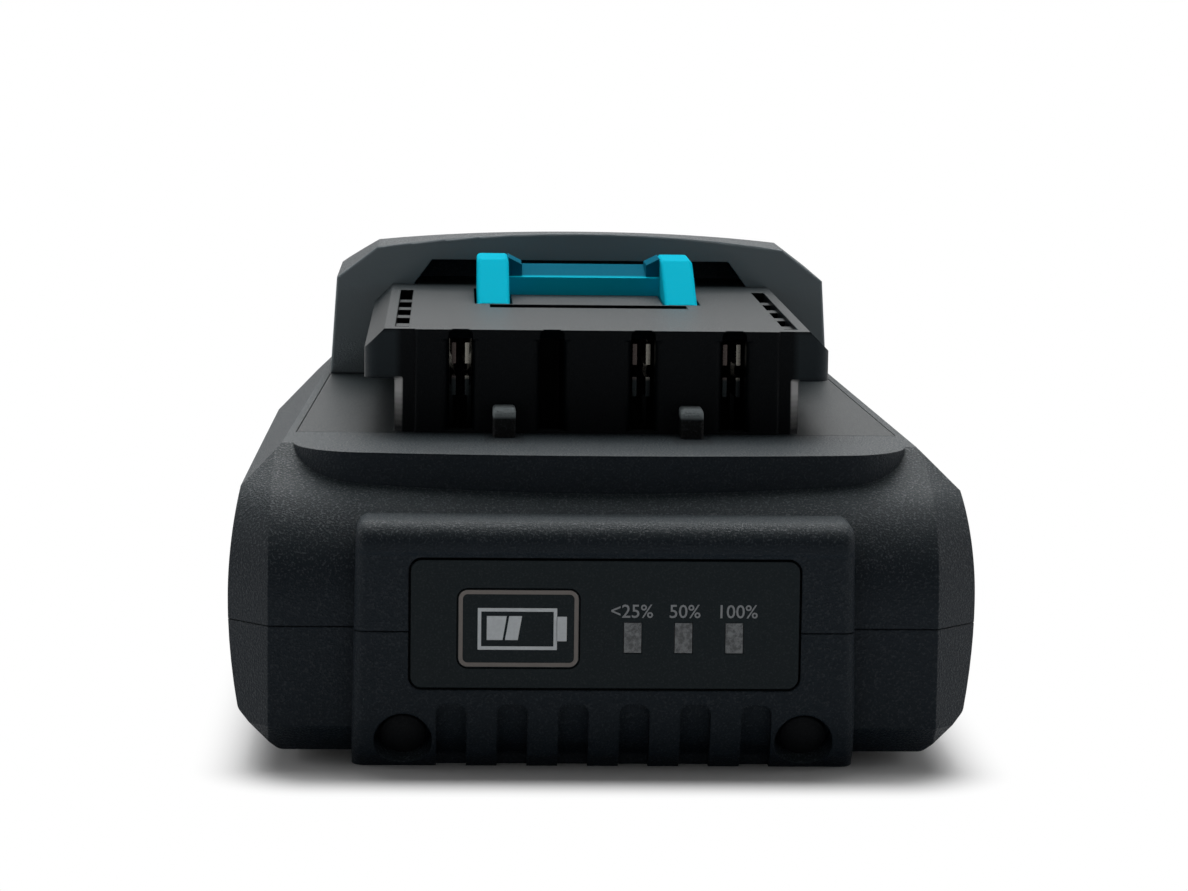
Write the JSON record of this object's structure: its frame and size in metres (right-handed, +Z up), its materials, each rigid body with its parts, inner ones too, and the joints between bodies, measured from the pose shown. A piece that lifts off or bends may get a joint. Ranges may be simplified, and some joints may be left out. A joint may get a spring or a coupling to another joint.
{
  "type": "vacuum cleaner battery",
  "caption": "Slide-on rechargeable battery pack for a cordless vacuum cleaner, with T rails, contact slots, a spring latch and a charge indicator in its bumper.",
  "frame": {"origin": "on the ground under the middle of the pack's width and length", "axes": "+X across the pack, +Y from the bumper with the charge indicator to the rear hood, +Z up through the rails"},
  "size_m": [0.0766, 0.114, 0.0484],
  "materials": {
    "housing_plastic": "spark-eroded grain",
    "rail_plastic": "fine grain",
    "plug_rubber": "satin",
    "screw_steel": "zinc plated",
    "panel_plastic": "fine grain",
    "key_plastic": "fine grain",
    "light_pipe": "frosted",
    "led_resin": "clear resin",
    "switch_plastic": "moulded",
    "board_laminate": "solder mask",
    "ribbon_film": "film",
    "chip_resin": "moulded resin",
    "contact_metal": "tin plated",
    "holder_plastic": "moulded",
    "insulation_paper": "pressed paper",
    "frame_plastic": "moulded",
    "strip_nickel": "nickel",
    "cell_sleeve": "heat shrunk sleeve",
    "latch_plastic": "satin moulded",
    "spring_steel": "drawn wire"
  },
  "bodies": {
    "housing": {"lower_housing": "housing_plastic", "upper_housing": "housing_plastic", "rail_plate": "rail_plastic", "bumper_plugs": "plug_rubber", "housing_screws": "screw_steel", "indicator_panel": "panel_plastic", "light_pipe": "light_pipe", "charge_leds": "led_resin", "tact_switch": "switch_plastic", "gauge_board": "board_laminate", "gauge_ribbon": "ribbon_film", "main_board": "board_laminate", "power_transistors": "chip_resin", "control_chip": "chip_resin", "contact_negative": "contact_metal", "contact_sense": "contact_metal", "contact_positive": "contact_metal", "contact_holder": "holder_plastic", "thermistor": "led_resin", "insulation_sheet": "insulation_paper", "cell_frame_left": "frame_plastic", "cell_frame_right": "frame_plastic", "positive_strip": "strip_nickel", "negative_strip": "strip_nickel", "latch_spring_left": "spring_steel", "latch_spring_right": "spring_steel", "cell_1": "cell_sleeve", "cell_2": "cell_sleeve", "cell_3": "cell_sleeve", "cell_4": "cell_sleeve", "cell_5": "cell_sleeve", "bridge_strip_1": "strip_nickel", "bridge_strip_2": "strip_nickel", "bridge_strip_3": "strip_nickel", "bridge_strip_4": "strip_nickel"},
    "latch": {"latch": "latch_plastic"},
    "key": {"switch_key": "key_plastic", "tact_plunger": "switch_plastic"}
  },
  "joints": [
    {"name": "latch_slide", "type": "slide", "parent": "housing", "child": "latch", "axis": [0, 0, -1], "range_m": [0, 0.005], "stiffness_N_per_m": 900, "springref_m": -0.004, "deforming": ["latch_spring_left", "latch_spring_right"]},
    {"name": "switch_press", "type": "slide", "parent": "housing", "child": "key", "axis": [0, 1, 0], "range_m": [0, 0.0004], "stiffness_N_per_m": 3000, "springref_m": -0.0002}
  ]
}
